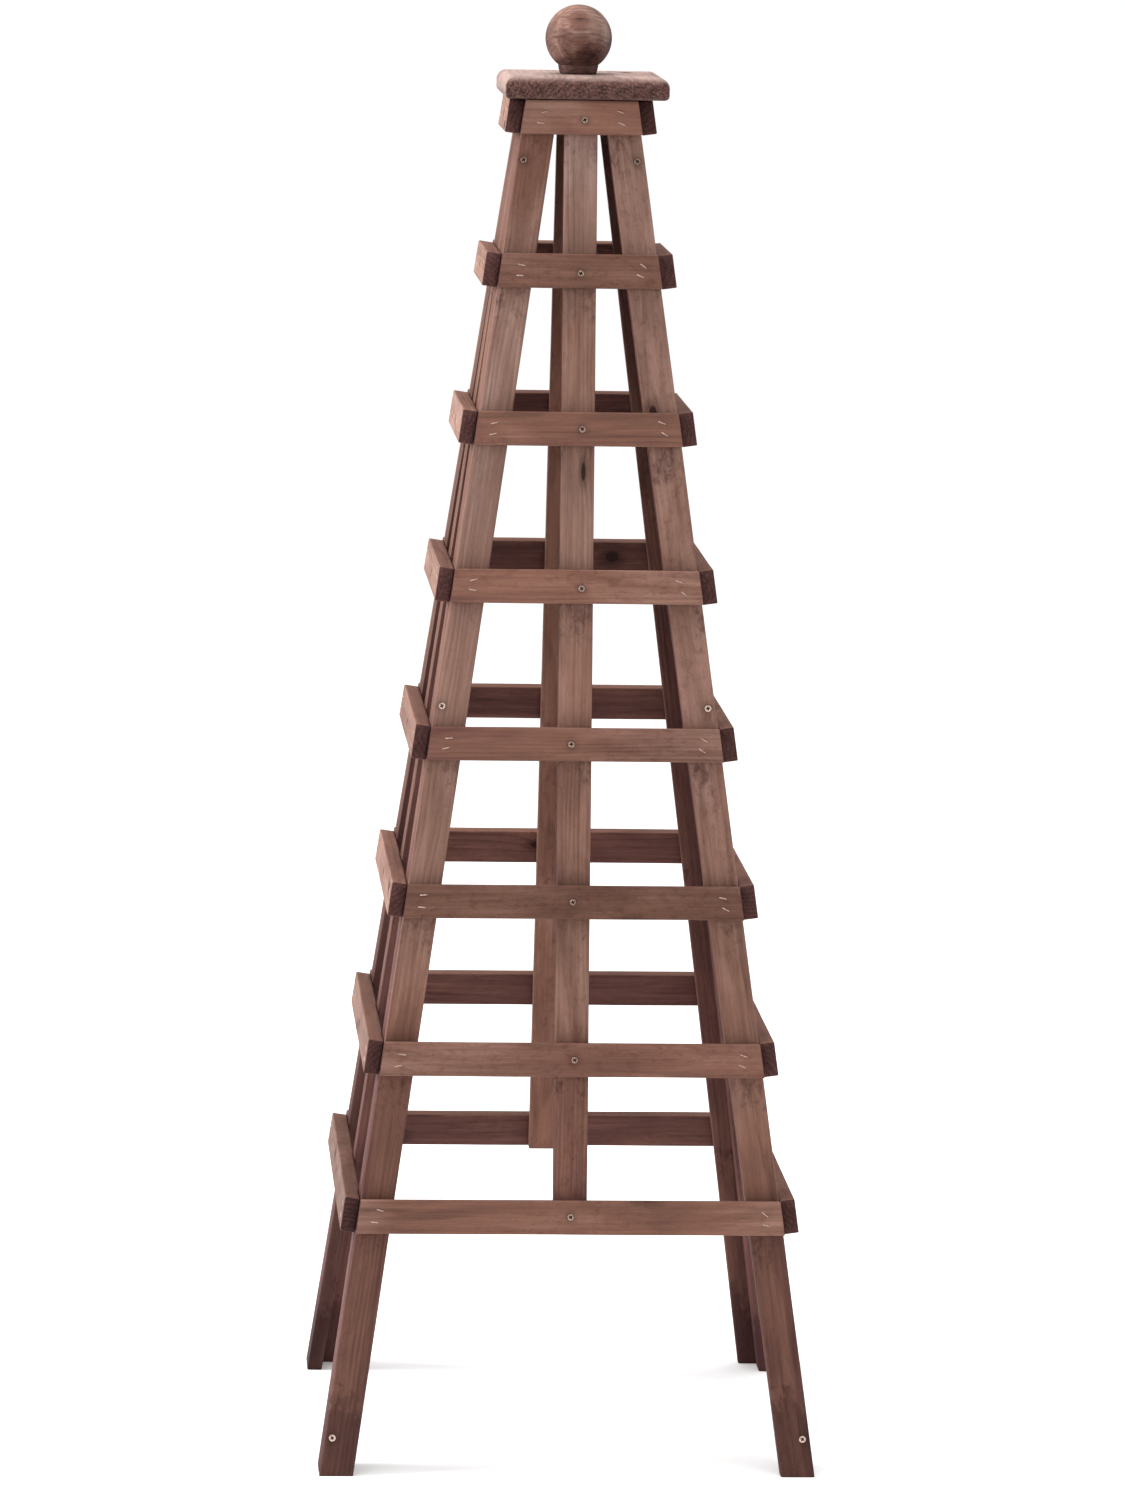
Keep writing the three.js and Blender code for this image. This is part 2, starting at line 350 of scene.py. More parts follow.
def rubbed(g, stain):
    """Open arrises are rubbed pale, unevenly."""
    ragged_wear = g.product(g.wear, g.total(g.noise(g.grain, RUBS), RUB_FLOOR))
    rubbing = g.product(g.smooth(ragged_wear, *RUB_EDGE), g.smooth(g.weather, *RUB_WEATHER))
    return g.mix(rubbing, stain, g.tint(g.look.bleached, RUBBED_BRIGHTNESS))


def knotted(g, stain):
    """Knots have a dark rim, and a redder heart with fine rings of its own."""
    heart_ring = g.smooth(g.math("FRACT", g.product(g.ragged_knot, HEART_RINGS)), *HEART_RING)
    stain = g.mix(g.heart, stain, g.tint(HEARTWOOD, heart_ring))
    return g.tint(stain, g.smooth(g.ragged_knot, *KNOT_RIM))


def darkened_by_screws(g, stain):
    from_screw = g.total(g.fixing, g.product(g.blotch, FIXING_RAGGED))
    return g.tint(stain, g.smooth(from_screw, *FIXING_EDGE))


def sawn_end(g):
    """Sawn ends drink up the stain, and are open and speckled."""
    speckled = g.look.end_speckle
    darkest = 1.0 - PIT_DARKENING * speckled
    palest = 1.0 + PIT_BRIGHTENING * speckled
    end = g.tint(g.look.end, g.smooth(g.pits, *PIT_EDGE, darkest, palest))
    end = g.tint(end, g.total(g.tone, g.product(g.latewood, -END_RING_SHADE)))
    flecks = g.smooth(g.speckle, *FLECK_EDGE, 0.0, MOST_FLECKS * speckled)
    return g.mix(g.product(flecks, g.smooth(g.patch, *FLECK_PATCH)), end, g.look.bleached)


def soiled_and_shaded(g, surface):
    """The feet are dark with soil and damp, up to a ragged edge. The same darkening is painted shade on the
    ball's lower part, and a water stain with painted shade under the slats.
    """
    mottling = g.total(g.centred(g.blotch), g.centred(g.mottle))
    ragged_damp_and_shade = g.total(g.damp, g.product(mottling, g.smooth(g.damp, *DAMP_AND_SHADE_RAGGED)))
    return g.mix(g.smooth(ragged_damp_and_shade, *DAMP_AND_SHADE_EDGE), surface, SOIL_AND_SHADE, "MULTIPLY")


def shaded_and_dirty_in_crevices(g, surface):
    """Painted shade and dirt darken the crevices between one piece and the next, where ambient occlusion
    finds them.
    """
    # painted shade: darker wherever the wood is hemmed in by other pieces
    openness = g.add("ShaderNodeAmbientOcclusion", {"Distance": 0.007}, samples=6).outputs["AO"]
    return g.mix(g.smooth(openness, *CREVICE_SHADE_EDGE), surface, CREVICE_SHADE_AND_DIRT, "MULTIPLY")


def wood_relief(g):
    heights = [g.product(getattr(g, feature), amount) for feature, amount in RELIEF.items()]
    height = g.total(*heights, g.product(g.pits, g.end_grain, PIT_RELIEF))
    return g.add("ShaderNodeBump", {"Strength": 0.55, "Distance": 0.0009, "Height": height}).outputs[0]


def wood_material(name, **look):
    """Stained softwood that reads the attributes which age_wood stores on each piece."""
    g = WoodGraph(name, WoodLook(**look))
    face = knotted(g, rubbed(g, mildewed(g, stained_face(g))))
    surface = g.mix(g.end_grain, darkened_by_screws(g, face), sawn_end(g))
    return g.finish({
        "Base Color": shaded_and_dirty_in_crevices(g, soiled_and_shaded(g, surface)),
        "Roughness": g.total(g.product(g.fibre, FIBRE_ROUGHNESS), WOOD_ROUGHNESS),
        "Specular IOR Level": 0.1,
        "Normal": wood_relief(g),
    })


LATH_WOOD = wood_material(
    "stained_lath",
    sheltered=colour(0.124, 0.053, 0.046),
    brown=colour(0.162, 0.077, 0.055),
    bleached=colour(0.222, 0.126, 0.098),
    silvered=colour(0.300, 0.208, 0.184),
    end=colour(0.070, 0.029, 0.026),
    end_speckle=0.45,
)
BOARD_WOOD = wood_material(
    "stained_board",
    sheltered=colour(0.070, 0.032, 0.026),
    brown=colour(0.160, 0.086, 0.068),
    bleached=colour(0.275, 0.190, 0.168),
    silvered=colour(0.300, 0.215, 0.195),
    end=colour(0.096, 0.046, 0.038),
    end_speckle=1.0,
)
TURNED_WOOD = wood_material(
    "turned_wood",
    sheltered=colour(0.085, 0.036, 0.031),
    brown=colour(0.140, 0.067, 0.051),
    bleached=colour(0.215, 0.124, 0.100),
    silvered=colour(0.262, 0.172, 0.150),
    end=colour(0.100, 0.050, 0.041),
    figure=1.7,
    ring_width=0.0110,
    end_speckle=0.5,
)


def age_wood(mesh, readings):
    """Stores what a wood material reads. readings has one dictionary for each vertex."""
    for name in NUMBERS:
        layer = mesh.attributes.new(name, "FLOAT", "POINT")
        layer.data.foreach_set("value", [reading[name] for reading in readings])
    for name in ("grain", *MARKS):
        layer = mesh.attributes.new(name, "FLOAT_VECTOR", "POINT")
        layer.data.foreach_set("vector", [part for reading in readings for part in reading[name]])


# ---- mesh building

SHARP_ANGLE = math.radians(38)


def between(value, low, high):
    """How far value is on its way from low to high, from 0 to 1."""
    return min(1.0, max(0.0, (value - low) / (high - low)))


def unevenness(point):
    """Smooth noise from 0 to 1 with about one hump in each unit."""
    return 0.5 + 0.5 * noise.noise(point)


def arc(radius, steps, first=0.0):
    """(x, y) from an arc's centre to points through a quarter turn, first quarter turns on from X."""
    angles = [math.pi / 2 * (first + step / steps) for step in range(steps + 1)]
    return [(radius * math.cos(angle), radius * math.sin(angle)) for angle in angles]


def four_times(points):
    """Points repeated in every quarter turn about Z."""
    spins = [Matrix.Rotation(turn * math.pi / 2, 3, "Z") for turn in range(4)]
    return [spin @ point for spin in spins for point in points]


def lofted_mesh(name, rings):
    """A closed mesh through rings that have equally many points, with both ends filled."""
    count = len(rings[0])
    points = [point for ring in rings for point in ring]
    faces = [tuple(reversed(range(count))), tuple(range(len(points) - count, len(points)))]
    for first in range(0, len(points) - count, count):
        for i in range(count):
            a = first + i
            b = first + (i + 1) % count
            faces.append((a, b, b + count, a + count))
    mesh = bpy.data.meshes.new(name)
    mesh.from_pydata(points, [], faces)
    mesh.update()
    return mesh


def circle(radius, height, sides):
    turns = [2 * math.pi * i / sides for i in range(sides)]
    return [Vector((radius * math.cos(t), radius * math.sin(t), height)) for t in turns]


def turned_mesh(name, profile, sides):
    """profile is (radius, height) from the bottom up, and never quite reaches the axis."""
    return lofted_mesh(name, [circle(radius, height, sides) for radius, height in profile])


def combined_mesh(name, copies):
    """One mesh of several copies: copies is (mesh, matrix) for each."""
    joined = bmesh.new()
    for mesh, matrix in copies:
        placed = mesh.copy()
        placed.transform(matrix)
        joined.from_mesh(placed)
        bpy.data.meshes.remove(placed)
    result = bpy.data.meshes.new(name)
    joined.to_mesh(result)
    joined.free()
    return result


def make_object(name, mesh, matrix=Matrix()):
    made = bpy.data.objects.new(name, mesh)
    bpy.context.scene.collection.objects.link(made)
    made.matrix_world = matrix
    return made


def stray(rng, most):
    return rng.uniform(-most, most)


def cut_out(mesh, cutter_mesh):
    """mesh with cutter_mesh taken out of it, as a new mesh."""
    body = make_object("cut_body", mesh)
    cutter = make_object("cut_tool", cutter_mesh)
    modifier = body.modifiers.new("cut", "BOOLEAN")
    modifier.operation = "DIFFERENCE"
    modifier.solver = "EXACT"
    modifier.object = cutter
    graph = bpy.context.evaluated_depsgraph_get()
    result = bpy.data.meshes.new_from_object(body.evaluated_get(graph))
    result.name = mesh.name
    bpy.data.objects.remove(body)
    bpy.data.objects.remove(cutter)
    return result


def add_piece(name, mesh, matrix, material_slot, materials, *stood_for):
    """Makes a shaded piece, puts it on the frame and hides the CAD nodes it stands for."""
    made = make_object(name, mesh, matrix)
    for material in materials:
        made.data.materials.append(material)
    made.data.shade_smooth()
    made.data.set_sharp_from_angle(angle=SHARP_ANGLE)
    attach(made, "root")
    if stood_for:
        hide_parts(*stood_for)


# ---- the shape of a lath

ALONG, ACROSS, THROUGH = range(3)  # a lath's own axes
MIDDLE = (0.0, 0.0, 0.0)
NORMAL_DECIMALS = 2  # faces whose normals are equal to this many lie in one plane
HOLE_WALL_AREA = 2.0e-4  # square metres: a CAD lath's flat faces are larger, and its holes' walls smaller
FACING = 0.7  # how nearly a flat face must look along an axis to count as that side of the lath

ARRIS_RADIUS = 0.0013
LEAST_ARRIS = 0.6  # of ARRIS_RADIUS
ARRIS_STEPS = 3
SHOULDER = 0.0028  # where the rubbing along an arris or an end has died away
END_EASE = 0.0007
RING_SPACING = 0.022
SEED_STEP, WOBBLE_STEP = 7.3, 3.1  # far enough apart in the noise for the wobbles to differ
BEARING_REACH = 0.0004  # a little more than the gap that the frame keeps between pieces


class Wobble(NamedTuple):
    """A smooth change along a lath: its number, its humps in each metre and how much it is at most."""

    number: int
    humps: float
    most: float

    def at(self, seed, x):
        return self.most * unevenness(Vector((x * self.humps, seed * SEED_STEP, self.number * WOBBLE_STEP)))


LOW_EDGE, HIGH_EDGE = Wobble(0, 9, 0.0006), Wobble(1, 9, 0.0006)
INNER_FACE, OUTER_FACE = Wobble(2, 6, 0.00012), Wobble(3, 6, 0.00012)
ARRIS = Wobble(4, 24, 0.9)  # added to LEAST_ARRIS


def flat_faces(mesh):
    """(area, normal, point) of a CAD solid's flat faces without the walls of its holes, the largest first."""
    found = {}
    for polygon in mesh.polygons:
        key = tuple(round(part, NORMAL_DECIMALS) for part in polygon.normal)
        area, normal, point = found.get(key, (0.0, Vector(), Vector()))
        weight = polygon.area
        found[key] = (area + weight, normal + polygon.normal * weight, point + polygon.center * weight)
    faces = [(area, n.normalized(), p / area) for area, n, p in found.values() if area > HOLE_WALL_AREA]
    return sorted(faces, key=lambda face: -face[0])


class Lath:
    """A CAD lath seen in its own axes: X along the grain, Y across its face, Z out of the obelisk."""

    def __init__(self, node):
        self.node = node
        self.panel = node.split("_")[0]
        mesh = nodes[node].data
        faces = flat_faces(mesh)
        low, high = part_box(node)
        from_axis = (low + high) / 2
        from_axis.z = 0.0
        outward = max((face[1] for face in faces[:2]), key=lambda normal: normal.dot(from_axis))
        across = next(face[1] for face in faces if abs(face[1].dot(outward)) < 1 - FACING)
        across = (across - outward * across.dot(outward)).normalized()
        along = across.cross(outward)
        self.upright = abs(along.z) > FACING
        if (along.z if self.upright else across.z) < 0:
            along, across = -along, -across
        turn = Matrix((along, across, outward))
        own = [turn @ vertex.co for vertex in mesh.vertices]
        lowest = Vector(min(p[i] for p in own) for i in range(3))
        highest = Vector(max(p[i] for p in own) for i in range(3))
        middle = (lowest + highest) / 2
        self.matrix = Matrix.Translation(turn.transposed() @ middle) @ turn.transposed().to_4x4()
        self.planes = []
        for _, normal, point in faces:
            own_normal = turn @ normal
            self.planes.append((own_normal, own_normal.dot(turn @ point - middle)))

    def reach(self, axis, sign, at):
        """Where a line through at, along an axis, leaves the lath."""
        found = []
        for normal, offset in self.planes:
            if normal[axis] * sign > FACING:
                others = sum(normal[i] * at[i] for i in range(3) if i != axis)
                found.append((offset - others) / normal[axis])
        return min(found) if sign > 0 else max(found)

    def span(self, axis, at=MIDDLE):
        return self.reach(axis, -1, at), self.reach(axis, 1, at)

    def face(self, x, y):
        """The point of its outer face at x and y."""
        return Vector((x, y, self.reach(THROUGH, 1, (x, y, 0.0))))


def lath_section(y_span, z_span, radius):
    """Points (y, z) round a lath's cross-section, its four arrises eased."""
    y_low, y_high = y_span[0] + radius, y_span[1] - radius
    z_low, z_high = z_span[0] + radius, z_span[1] - radius
    corners = []
    for turn, (y, z) in enumerate(((y_high, z_high), (y_low, z_high), (y_low, z_low), (y_high, z_low))):
        corners.append([(y + out_y, z + out_z) for out_y, out_z in arc(radius, ARRIS_STEPS, turn)])
    points = []
    for corner, next_corner in zip(corners, corners[1:] + corners[:1]):
        y, z = corner[-1]
        run = Vector((next_corner[0][0] - y, next_corner[0][1] - z))
        near = SHOULDER / run.length
        points += corner + [(y + run.x * share, z + run.y * share) for share in (near, 0.5, 1 - near)]
    return points


def edge_inset(lath, wobble):
    """How far an edge lies inside the CAD's. The left and right panels' stiles close up to the others."""
    return -BEARING_REACH if lath.upright and lath.panel in ("left", "right") else wobble


def lath_ring(lath, seed, share):
    """A lath's cross-section at a share of its length."""
    start, end = lath.span(ALONG)
    x = start + share * (end - start)
    eased = END_EASE if share in (0.0, 1.0) else 0.0
    y_low, y_high = lath.span(ACROSS, (x, 0.0, 0.0))
    z_low, z_high = lath.span(THROUGH, (x, 0.0, 0.0))
    y_low += eased + edge_inset(lath, LOW_EDGE.at(seed, x))
    y_high -= eased + edge_inset(lath, HIGH_EDGE.at(seed, x))
    z_low += eased + INNER_FACE.at(seed, x)
    z_high -= eased + OUTER_FACE.at(seed, x)
    radius = ARRIS_RADIUS * (LEAST_ARRIS + ARRIS.at(seed, x))
    ring = []
    for y, z in lath_section((y_low, y_high), (z_low, z_high), radius):
        first, last = lath.span(ALONG, (0.0, y, z))
        ring.append(Vector((first + share * (last - first), y, z)))
    return ring


def lath_rings(lath, seed):
    start, end = lath.span(ALONG)
    length = end - start
    steps = round(length / RING_SPACING)
    near_end = [0.0, END_EASE / length, SHOULDER / length]
    shares = near_end + [i / steps for i in range(1, steps)] + [1 - share for share in reversed(near_end)]
    return [lath_ring(lath, seed, share) for share in shares]


# ---- how a lath has aged

DAMP_HEIGHT = 0.11  # how far soil and damp have darkened the feet
PITH_NEAR, PITH_FAR = 0.014, 0.060  # how far the heart of the tree was from a lath's middle
GRAIN_SHIFT = 40.0  # each lath is cut from its own place along the pattern
WEAR_REACH = 0.0034  # how far from an arris it is rubbed
SLAT_RUBBING = 0.7  # of the stiles'
FIXING_STAIN = 0.0062  # how far a screw's stain reaches
SLAT_WEATHER = (0.1, 0.45, 0.5)  # how bleached its inner face, its edges and its outer face are
# The same for the inner faces and edges of each panel's stiles; the low edge values are painted shade on the
# edges seen in the gaps at the corners. Their outer faces change with height.
STILE_WEATHER_AND_SHADE = {"front": (0.3, 0.02), "right": (0.05, 0.05), "back": (0.2, 0.4), "left": (0.3, 0.1)}
LOW_WEATHER, HIGH_WEATHER = 0.26, 0.86  # up to LOW_HEIGHT, and from HIGH_HEIGHT
LOW_HEIGHT, HIGH_HEIGHT = 0.28, 0.82
# The side that faces the key light: a painted highlight brightens its slats' outer faces and painted shade
# darkens its stiles.
KEY_LIGHT_SIDE = "left"
KEY_SIDE_SLAT_BLEACH_AND_HIGHLIGHT = 0.5  # added to outer faces on that side, as bleaching and a painted highlight
# painted shade on that side's stiles
KEY_SIDE_STILE_SHADE = -0.35
PALE_INSIDE = {"back_centre_stile": 0.65}  # how much less its outer face is bleached
TONE_SPREAD = 0.10
# how far the water stain and painted shade under each slat reach down the stiles
UNDER_SLAT_REACH = 0.055
UNDER_SLAT_ABOVE = UNDER_SLAT_REACH / 4  # how far it also creeps up behind the slat
UNDER_SLAT_DARKENING = 0.16

# Laths whose stain came out darker or paler than their neighbours'. left_left_stile is darker as painted
# shade, and front_slat_8 paler as painted light against the shade under the cap.
CHOSEN_TONES = {
    "front_slat_1": 1.02, "front_slat_2": 0.96, "front_slat_3": 0.76, "front_slat_4": 1.0,
    "front_slat_5": 1.15, "front_slat_6": 1.02, "front_slat_7": 0.9, "front_slat_8": 1.2,
    "front_left_stile": 1.06, "front_centre_stile": 1.04, "front_right_stile": 1.04,
    "left_left_stile": 0.6, "left_centre_stile": 0.9, "left_right_stile": 0.95, "left_slat_1": 0.72,
    "left_slat_2": 0.88, "left_slat_3": 1.1, "left_slat_5": 1.06, "left_slat_6": 1.06,
    "back_centre_stile": 1.4, "back_left_stile": 0.95, "back_right_stile": 1.12, "back_slat_1": 0.9,
    "back_slat_3": 1.08,
}

# Laths that have aged unevenly: how far from the middle, and what chosen_ageing says there.
EVEN_AGEING = [(0.0, 0.0, 1.0)]
CHOSEN_AGEING = {
    "front_left_stile": [
        (-0.50, 0.10, 0.80), (-0.39, -0.05, 0.66), (-0.24, 0.12, 0.95), (0.15, 0.20, 1.0),
        (0.31, 0.40, 0.97), (0.59, 0.15, 1.0), (0.68, -0.25, 1.0),
    ],
    "front_centre_stile": [
        (-0.52, -0.05, 1.0), (-0.34, 0.30, 1.0), (-0.17, -0.05, 1.0), (0.01, -0.18, 1.0),
        (0.18, 0.22, 1.0), (0.36, -0.15, 1.01), (0.53, 0.35, 1.0),
    ],
    "front_right_stile": [
        (-0.73, 0.07, 0.85), (-0.63, 0.07, 0.70), (-0.50, 0.07, 0.75), (-0.39, 0.30, 1.03),
        (-0.21, 0.20, 1.0), (-0.04, -0.03, 0.98), (0.15, -0.03, 1.01), (0.32, -0.20, 0.97),
        (0.50, 0.10, 1.01),
    ],
    "front_slat_1": [(-0.22, 0.40, 1.0), (-0.16, 0.0, 1.0), (0.16, 0.0, 1.0), (0.22, 0.15, 1.0)],
    "front_slat_2": [(-0.10, 0.15, 1.0), (0.10, 0.0, 1.0)],
    "front_slat_3": [(-0.08, 0.0, 1.0), (0.08, -0.08, 0.92)],
    "front_slat_4": [(-0.08, -0.15, 1.0), (0.08, 0.25, 1.0)],
    "front_slat_5": [(-0.08, -0.15, 1.0), (0.08, 0.15, 1.0)],
    "front_slat_8": [(-0.03, 0.35, 1.0), (0.03, 0.0, 1.0)],
    "back_centre_stile": [(0.0, 0.35, 1.0)],
}

# A knot's distance from a lath's middle along the grain and across it, its half length and its half width.
CHOSEN_KNOTS = {
    "front_centre_stile": [(0.215, -0.0065, 0.011, 0.0026)],
    "front_slat_3": [(0.066, -0.024, 0.012, 0.006)],
    "front_slat_1": [(0.085, 0.024, 0.012, 0.006)],
    "back_slat_5": [(-0.059, 0.001, 0.0080, 0.0068)],
    "front_right_stile": [(0.42, 0.008, 0.010, 0.0045)],
}
KNOT_CHANCE = 0.35
KNOT_ALONG = 0.8  # of the way to the lath's ends
KNOT_ACROSS = 0.012
KNOT_HALF_LENGTHS, KNOT_HALF_WIDTHS = (0.005, 0.010), (0.003, 0.006)


def choose_knots(lath, rng):
    if lath.node in CHOSEN_KNOTS:
        return CHOSEN_KNOTS[lath.node]
    if rng.random() > KNOT_CHANCE or lath.panel == "front":
        return []
    low, high = lath.span(ALONG)
    x = rng.uniform(KNOT_ALONG * low, KNOT_ALONG * high)
    return [(x, stray(rng, KNOT_ACROSS), rng.uniform(*KNOT_HALF_LENGTHS), rng.uniform(*KNOT_HALF_WIDTHS))]


def from_knots(p, knots):
    """How far p is from one or two knots, in their own half sizes, as age_wood stores it."""
    gaps = [((p.x - x) / half_length, (p.y - y) / half_width, 0.0) for x, y, half_length, half_width in knots]
    return dict(zip(("knot_a", "knot_b"), gaps))


def from_nearest(p, screws):
    gaps = [(p - place) / FIXING_STAIN for place in screws]
    return min(gaps, key=lambda gap: gap.length, default=NOWHERE)


def lath_weather_and_light(lath, outwardness, height):
    """How bleached a lath is where its surface looks outwards by outwardness, from -1 to 1, with painted
    highlight and painted shade added on some faces.
    """
    inner, edge, outer = SLAT_WEATHER
    if lath.upright:
        inner, edge = STILE_WEATHER_AND_SHADE[lath.panel]
        outer = LOW_WEATHER + (HIGH_WEATHER - LOW_WEATHER) * between(height, LOW_HEIGHT, HIGH_HEIGHT)
    # painted highlight on the key-lit side's slats, painted shade on its stiles
    if lath.panel == KEY_LIGHT_SIDE:
        outer += KEY_SIDE_STILE_SHADE if lath.upright else KEY_SIDE_SLAT_BLEACH_AND_HIGHLIGHT
    outer -= PALE_INSIDE.get(lath.node, 0.0)
    side = outer if outwardness > 0 else inner
    return edge + (side - edge) * abs(outwardness)


def chosen_ageing(node, along):
    """A lath's extra bleaching at a place along it, and what its tone is multiplied by there."""
    marks = CHOSEN_AGEING.get(node, EVEN_AGEING)
    for (start, *at_start), (end, *at_end) in zip(marks, marks[1:]):
        if start <= along <= end:
            share = (along - start) / (end - start)
            return [a + (b - a) * share for a, b in zip(at_start, at_end)]
    return marks[0][1:] if along < marks[0][0] else marks[-1][1:]


def under_slat_stain_and_shade(slat_bottoms, height):
    """Water held behind each slat stains the stiles under it, and painted shade darkens them there as well.
    """
    gaps = [bottom - height for bottom in slat_bottoms if bottom - height > -UNDER_SLAT_ABOVE]
    nearest = min(gaps, default=UNDER_SLAT_REACH)
    return UNDER_SLAT_DARKENING * (1 - between(nearest, 0.0, UNDER_SLAT_REACH))


def lath_readings(lath, mesh, rng, knots, screws):
    """What a wood material reads at each vertex of a lath."""
    pith_angle = rng.uniform(0, 2 * math.pi)
    pith_distance = rng.uniform(PITH_NEAR, PITH_FAR)
    to_pith = (pith_distance * math.cos(pith_angle), pith_distance * math.sin(pith_angle))
    shift = Vector((stray(rng, GRAIN_SHIFT), *to_pith))
    tone = CHOSEN_TONES.get(lath.node, 1 + stray(rng, TONE_SPREAD))
    rubbing = 1.0 if lath.upright else SLAT_RUBBING
    numbers = range(1, SLAT_COUNT + 1) if lath.upright else ()
    slat_bottoms = [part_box(f"{lath.panel}_slat_{number}")[0].z for number in numbers]
    readings = []
    for vertex in mesh.vertices:
        p = vertex.co
        height = (lath.matrix @ p).z
        x_span, y_span, z_span = (lath.span(axis, p) for axis in range(3))
        from_arris = min(p.y - y_span[0], y_span[1] - p.y) + min(p.z - z_span[0], z_span[1] - p.z)
        from_end = min(p.x - x_span[0], x_span[1] - p.x)
        bleaching, shade = chosen_ageing(lath.node, p.x)
        readings.append({
            **PLAIN,
            **from_knots(p, knots),
            "fixing": from_nearest(p, screws),
            "grain": p + shift,
            "tone": tone * shade,
            "wear": rubbing * max(0.0, 1 - from_arris / WEAR_REACH),
            "weather": lath_weather_and_light(lath, vertex.normal.z, height) + bleaching,
            "damp": max(under_slat_stain_and_shade(slat_bottoms, height), 1 - height / DAMP_HEIGHT),
            "end_grain": 1.0 if from_end < END_EASE / 2 else 0.0,
        })
    return readings


# ---- fastenings

HEAD_RADIUS = 0.0039
HEAD_RIM = 0.0001  # the step in which a head's rim is rounded
HEAD_DEPTH = 0.0026
SHANK_RADIUS = 0.0019
SCREW_LENGTH = 0.032
POINT_LENGTH, POINT_RADIUS = 0.004, 0.0002
SCREW_SIDES = 24
RECESS_REACH, RECESS_WIDTH = 0.0023, 0.00075
RECESS_FLARE = 1.05  # the shape that cuts it starts above the head, and wider
RECESS_DEPTH = 0.0019
RECESS_FLOOR_REACH, RECESS_FLOOR_WIDTH = 0.4, 0.8  # of the reach and width at the top
LEAST_SINK, MOST_SINK = 0.0005, 0.0013  # how far a slat screw's head lies below the face
CORNER_SINK = 0.0005
SCREW_TILT = 5  # degrees

HOLE_CLEARANCE = 0.0003
HOLE_SIDES = 28
HOLE_SHARE = 0.8  # of the lath's thickness
HOLE_FLARE, HOLE_TOP = 0.0008, 0.0004  # the shape that cuts it starts above the face, and wider

METAL_PATCHES = Pattern((500.0, 500.0, 500.0), detail=4.0, roughness=0.65)
METAL_SCRATCHES = Pattern((2400.0, 700.0, 700.0), detail=3.0, roughness=0.6)
DULL_EDGE, DIRTY_EDGE = (0.35, 0.62), (0.58, 0.72)
PATCH_ROUGHNESS = 0.3
CRUMBS = Pattern((1800.0, 1800.0, 1800.0), detail=3.0, roughness=0.6)
# painted shade and dirt in the screws' recesses
DARK_SHADE_AND_GRIME, PALE_SHADE_AND_GRIME = colour(0.012, 0.006, 0.005), colour(0.060, 0.032, 0.025)
RECESS_ROUGHNESS, CRUMB_ROUGHNESS = 0.7, 0.25


def metal_material(name, bright, dull, dirt, roughness):
    """Zinc plating gone dull in patches."""
    g = Graph(name)
    place = g.add("ShaderNodeTexCoord", {}).outputs["Object"]
    patches = g.noise(place, METAL_PATCHES)
    plating = g.mix(g.smooth(patches, *DULL_EDGE), bright, dull)
    relief = {"Strength": 0.4, "Distance": 0.0002, "Height": g.noise(place, METAL_SCRATCHES)}
    return g.finish({
        "Base Color": g.mix(g.smooth(patches, *DIRTY_EDGE), plating, dirt),
        "Metallic": 0.75,
        "Roughness": g.total(g.product(patches, PATCH_ROUGHNESS), roughness),
        "Normal": g.add("ShaderNodeBump", relief).outputs[0],
    })


def recess_shade_and_grime_material():
    """Painted shade and dirt packed into a screw's recess."""
    g = Graph("recess_shade_and_grime")
    crumbs = g.noise(g.add("ShaderNodeTexCoord", {}).outputs["Object"], CRUMBS)
    roughness = g.total(g.product(crumbs, CRUMB_ROUGHNESS), RECESS_ROUGHNESS)
    return g.finish({"Base Color": g.mix(crumbs, DARK_SHADE_AND_GRIME, PALE_SHADE_AND_GRIME), "Roughness": roughness})


RUST = colour(0.09, 0.048, 0.038)
BRIGHT_METAL = metal_material(
    "bright_screw", colour(0.70, 0.54, 0.46), colour(0.52, 0.38, 0.32), colour(0.26, 0.155, 0.12), 0.35
)
DULL_METAL = metal_material("dull_screw", colour(0.48, 0.34, 0.27), colour(0.27, 0.17, 0.13), RUST, 0.45)
RUSTED_METAL = metal_material("rusted_screw", colour(0.37, 0.25, 0.20), colour(0.22, 0.13, 0.10), RUST, 0.55)
STAPLE_METAL = metal_material(
    "staple_wire", colour(0.47, 0.345, 0.30), colour(0.32, 0.215, 0.185), colour(0.15, 0.085, 0.07), 0.45
)
RECESS_SHADE_AND_GRIME = recess_shade_and_grime_material()


def cross_outline(reach, width, height):
    """A plus sign's twelve corners."""
    return four_times([Vector((x, y, height)) for x, y in ((width, -width), (reach, -width), (reach, width))])


def in_recess(place):
    below_face = -RECESS_DEPTH - HEAD_RIM / 2 < place.z < -HEAD_RIM / 2
    return below_face and math.hypot(place.x, place.y) < RECESS_REACH


